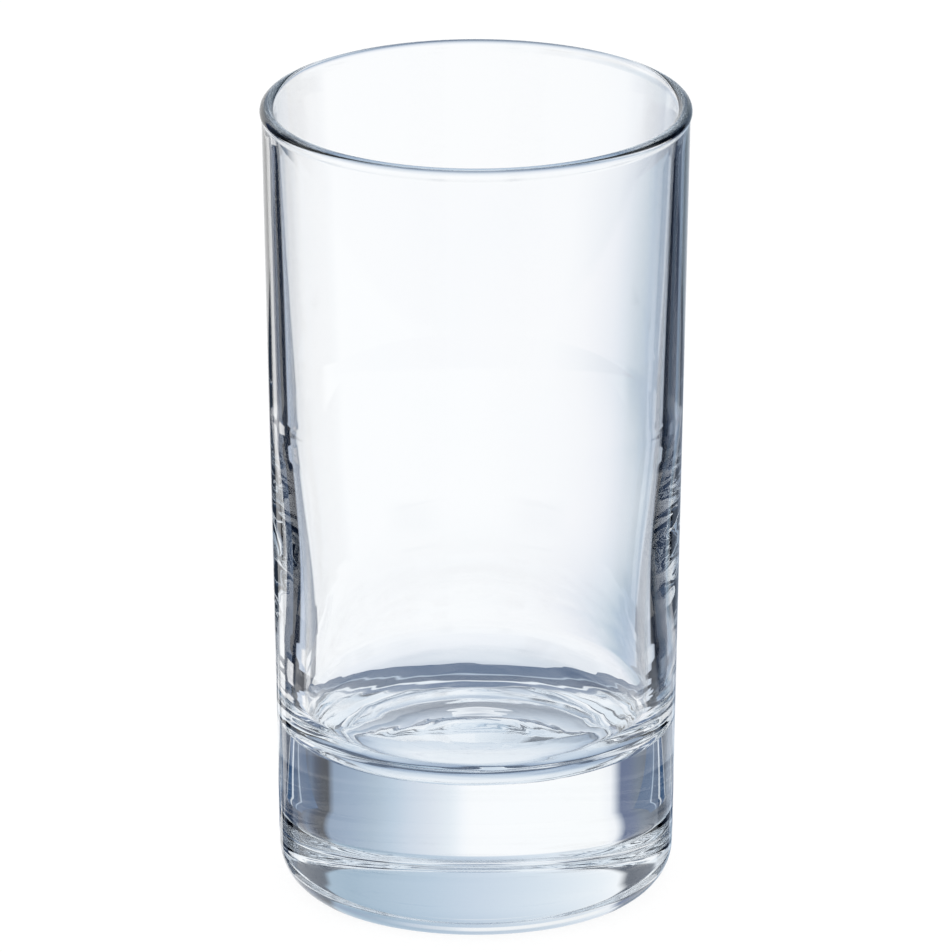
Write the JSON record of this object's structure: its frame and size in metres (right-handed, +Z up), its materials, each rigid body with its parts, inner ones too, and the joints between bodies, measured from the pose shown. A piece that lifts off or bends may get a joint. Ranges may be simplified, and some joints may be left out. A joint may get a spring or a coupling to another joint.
{
  "type": "juice glass",
  "caption": "Clear juice glass: a straight, slightly tapered tumbler with a small rounded bead at the lip, a wall that thickens downwards and a heavy solid base.",
  "frame": {"origin": "centre of the ring that the glass stands on, at the height of the table", "axes": "+Z up along the axis of the glass, out of its mouth; X and Y are any two directions at right angles, because the glass is round"},
  "size_m": [0.06, 0.06, 0.1137],
  "materials": {
    "glass": "clear and colourless, smooth, with a bead at the lip rounded in a flame"
  },
  "bodies": {
    "root": {"glass_body": "glass"}
  },
  "joints": []
}
